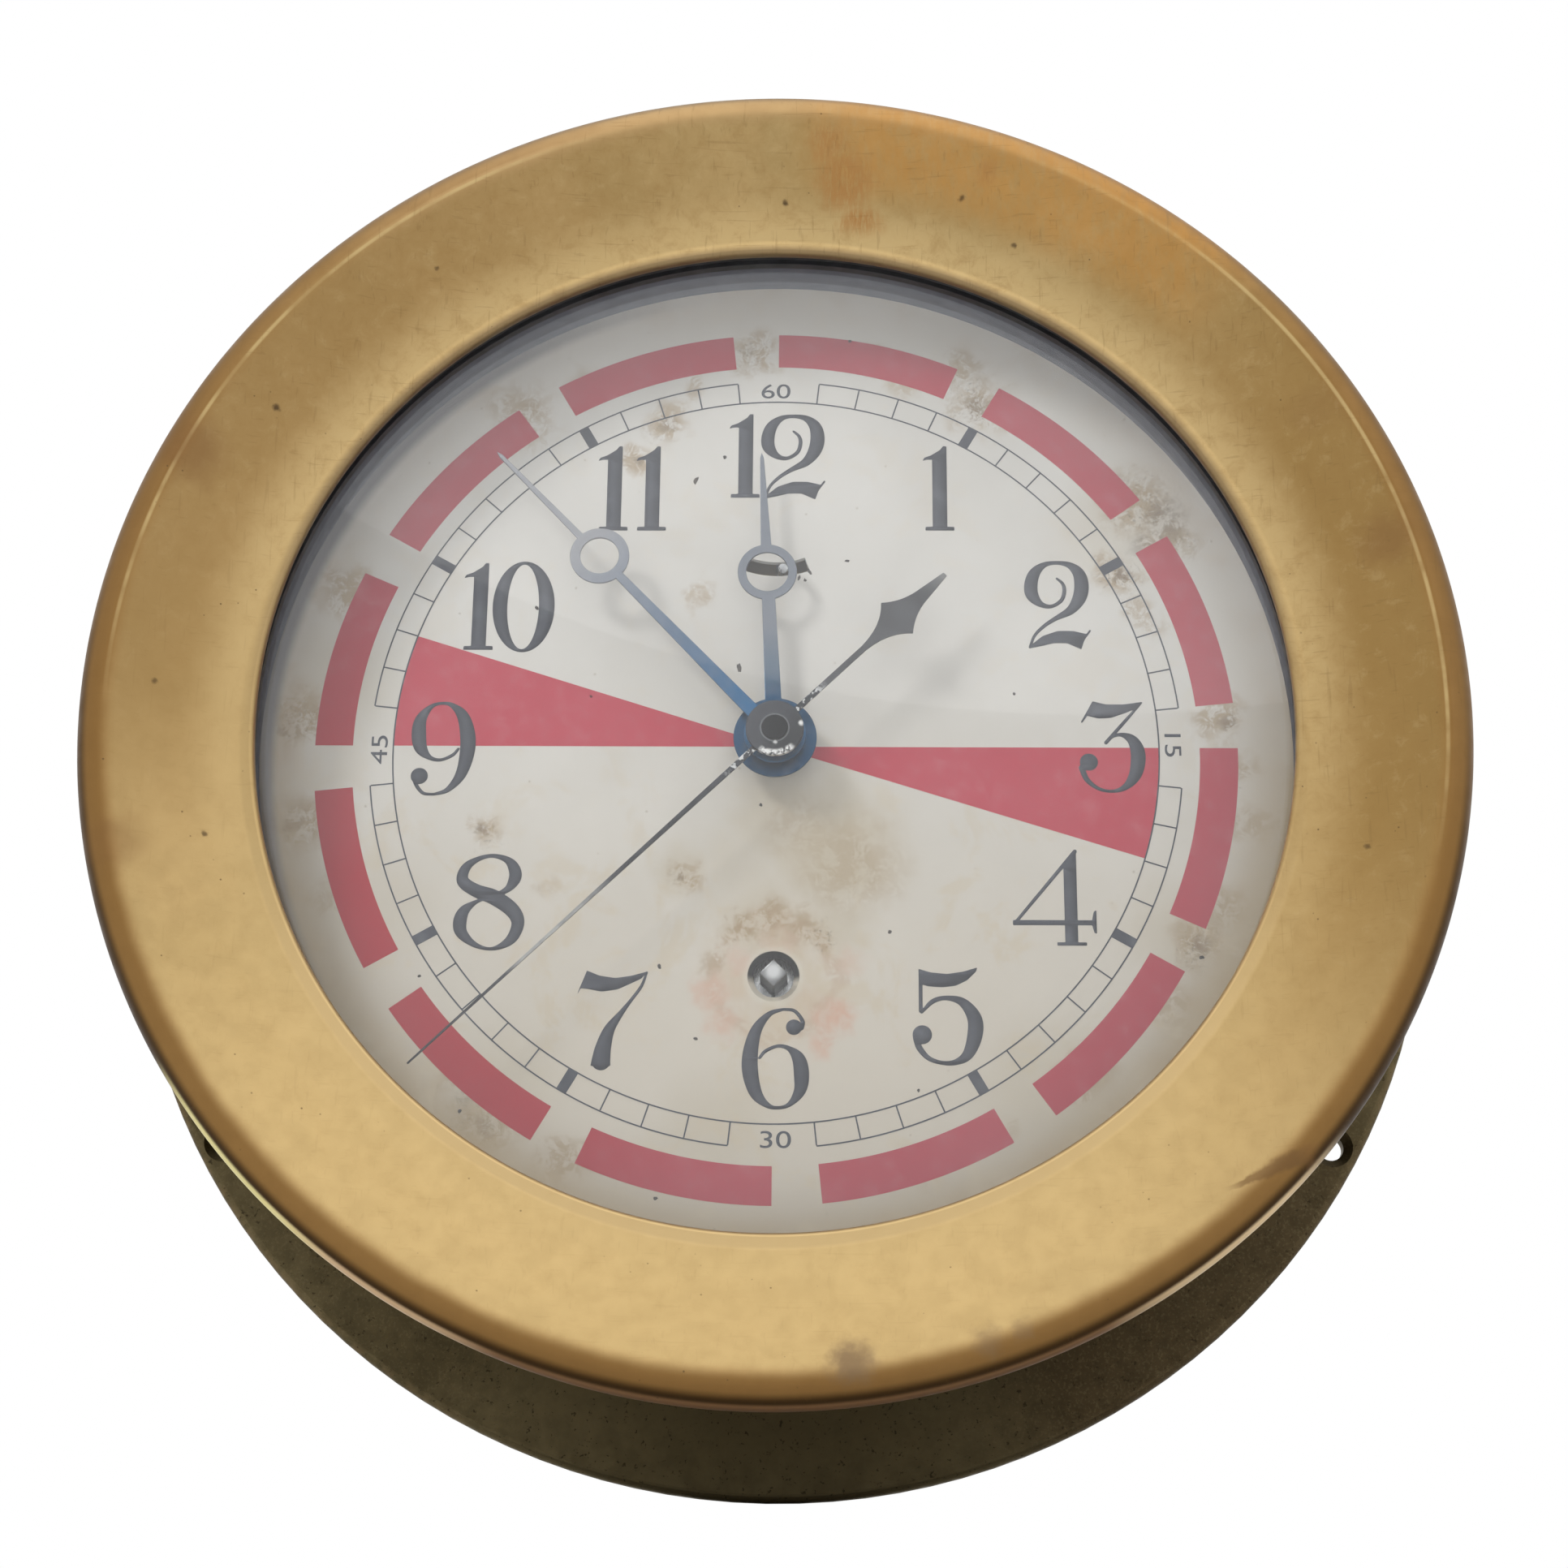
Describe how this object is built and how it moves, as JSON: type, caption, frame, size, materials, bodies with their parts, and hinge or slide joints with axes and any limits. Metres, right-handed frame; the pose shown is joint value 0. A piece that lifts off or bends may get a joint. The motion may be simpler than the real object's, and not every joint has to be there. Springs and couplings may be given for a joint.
{
  "type": "marine clock",
  "caption": "Round bulkhead clock with a dished brass screw bezel, silvered dial, ringed blued hands, sweep seconds and a lever movement inside a flanged case.",
  "frame": {"origin": "centre of the flat back face that lies on the wall", "axes": "+Y points out of the back face into the wall, the dial faces -Y, and +Z points to 12 o'clock"},
  "size_m": [0.2134, 0.0711, 0.2134],
  "materials": {
    "case_brass": "aged, dark",
    "bezel_brass": "satin, worn",
    "movement_brass": "satin",
    "wheel_brass": "polished",
    "gasket_rubber": "matt",
    "clear_glass": "clear",
    "black_enamel": "satin black",
    "slate_paint": "matt",
    "silvered_brass": "silvered, matt, stained",
    "blued_steel": "blued",
    "dark_steel": "darkened",
    "steel": "polished",
    "spring_steel": "tempered blue",
    "ruby": "polished"
  },
  "bodies": {
    "case_body": {"case": "case_brass", "dial_surround": "slate_paint", "dial": "silvered_brass", "dial_screws": "movement_brass", "front_plate": "movement_brass", "back_plate": "movement_brass", "pillars": "movement_brass", "pillar_screws": "blued_steel", "movement_posts": "movement_brass", "movement_screws": "steel", "front_bushes": "wheel_brass", "back_bushes": "wheel_brass", "click_screw": "blued_steel", "click_spring": "spring_steel", "minute_stud": "steel", "hairspring": "spring_steel", "hairspring_stud": "steel", "balance_bush": "wheel_brass"},
    "glass_body": {"glass": "clear_glass", "bezel_gasket": "gasket_rubber", "glass_keeper_ring": "black_enamel"},
    "bezel_body": {"bezel_ring": "bezel_brass"},
    "seconds_body": {"seconds_arbor": "steel", "fourth_wheel": "wheel_brass", "second_hand": "dark_steel", "second_hand_collet": "dark_steel"},
    "third_body": {"third_wheel": "wheel_brass", "third_pinion": "steel"},
    "minutes_body": {"centre_wheel": "wheel_brass", "centre_pinion": "steel", "cannon_pinion": "steel", "minute_hand": "blued_steel", "minute_hand_washer": "dark_steel"},
    "motion_body": {"minute_wheel": "wheel_brass", "minute_pinion": "steel"},
    "hours_body": {"hour_wheel": "wheel_brass", "hour_hand": "blued_steel"},
    "escape_body": {"escape_wheel": "wheel_brass", "escape_pinion": "steel"},
    "intermediate_body": {"intermediate_wheel": "wheel_brass", "intermediate_pinion": "steel"},
    "barrel_body": {"barrel": "wheel_brass", "barrel_cap": "wheel_brass", "mainspring": "spring_steel"},
    "winding_body": {"barrel_arbor": "steel", "ratchet_wheel": "steel"},
    "click_body": {"click": "steel"},
    "lever_body": {"pallet_lever": "steel", "pallet_arbor": "steel", "pallet_stones": "ruby"},
    "balance_body": {"balance_wheel": "wheel_brass", "timing_screws": "wheel_brass", "balance_staff": "steel", "impulse_roller": "steel"},
    "regulator_body": {"regulator_index": "steel"}
  },
  "joints": [
    {"name": "bezel_lift", "type": "slide", "parent": "case_body", "child": "glass_body", "axis": [0, -1, 0], "range_m": [0, 0.006]},
    {"name": "bezel_turn", "type": "hinge", "parent": "glass_body", "child": "bezel_body", "pos_m": [0, -0.06, 0], "axis": [0, -1, 0], "range_deg": [0, 1440]},
    {"name": "seconds_turn", "type": "hinge", "parent": "case_body", "child": "seconds_body", "pos_m": [0, -0.03, 0], "axis": [0, 1, 0], "continuous": true},
    {"name": "third_turn", "type": "hinge", "parent": "case_body", "child": "third_body", "pos_m": [-0.01702, -0.03, 0.00586], "axis": [0, 1, 0], "continuous": true},
    {"name": "minutes_turn", "type": "hinge", "parent": "case_body", "child": "minutes_body", "pos_m": [0, -0.03, 0], "axis": [0, 1, 0], "continuous": true},
    {"name": "motion_turn", "type": "hinge", "parent": "case_body", "child": "motion_body", "pos_m": [0.0096, -0.03, 0], "axis": [0, 1, 0], "continuous": true},
    {"name": "hours_turn", "type": "hinge", "parent": "case_body", "child": "hours_body", "pos_m": [0, -0.03, 0], "axis": [0, 1, 0], "continuous": true},
    {"name": "escape_turn", "type": "hinge", "parent": "case_body", "child": "escape_body", "pos_m": [0, -0.03, 0.01771], "axis": [0, 1, 0], "continuous": true},
    {"name": "intermediate_turn", "type": "hinge", "parent": "case_body", "child": "intermediate_body", "pos_m": [0.00794, -0.03, -0.01616], "axis": [0, 1, 0], "continuous": true},
    {"name": "barrel_turn", "type": "hinge", "parent": "case_body", "child": "barrel_body", "pos_m": [0, -0.03, -0.0356], "axis": [0, 1, 0], "continuous": true},
    {"name": "winding_turn", "type": "hinge", "parent": "case_body", "child": "winding_body", "pos_m": [0, -0.03, -0.0356], "axis": [0, 1, 0], "range_deg": [0, 2340]},
    {"name": "click_lift", "type": "hinge", "parent": "case_body", "child": "click_body", "pos_m": [0.00975, -0.044, -0.0276], "axis": [0, -1, 0], "range_deg": [0, 12], "stiffness_Nm_per_rad": 0.002, "springref_deg": -11.46},
    {"name": "lever_rock", "type": "hinge", "parent": "case_body", "child": "lever_body", "pos_m": [0, -0.03, 0.02579], "axis": [0, 1, 0], "range_deg": [-5, 5]},
    {"name": "balance_swing", "type": "hinge", "parent": "case_body", "child": "balance_body", "pos_m": [0, -0.03, 0.042], "axis": [0, 1, 0], "range_deg": [-270, 270], "stiffness_Nm_per_rad": 0.000035},
    {"name": "regulator_shift", "type": "hinge", "parent": "case_body", "child": "regulator_body", "pos_m": [0, -0.043, 0.042], "axis": [0, 1, 0], "range_deg": [-12, 20]}
  ],
  "couplings": [
    {"joint": "bezel_lift", "follows": "bezel_turn", "m_per_rad": 0.00023873},
    {"joint": "third_turn", "follows": "seconds_turn", "ratio": -0.13333},
    {"joint": "minutes_turn", "follows": "seconds_turn", "ratio": 0.016667},
    {"joint": "motion_turn", "follows": "seconds_turn", "ratio": -0.0055556},
    {"joint": "hours_turn", "follows": "seconds_turn", "ratio": 0.0013889},
    {"joint": "escape_turn", "follows": "seconds_turn", "ratio": -10},
    {"joint": "intermediate_turn", "follows": "seconds_turn", "ratio": -0.0033333},
    {"joint": "barrel_turn", "follows": "seconds_turn", "ratio": 0.00055556}
  ]
}
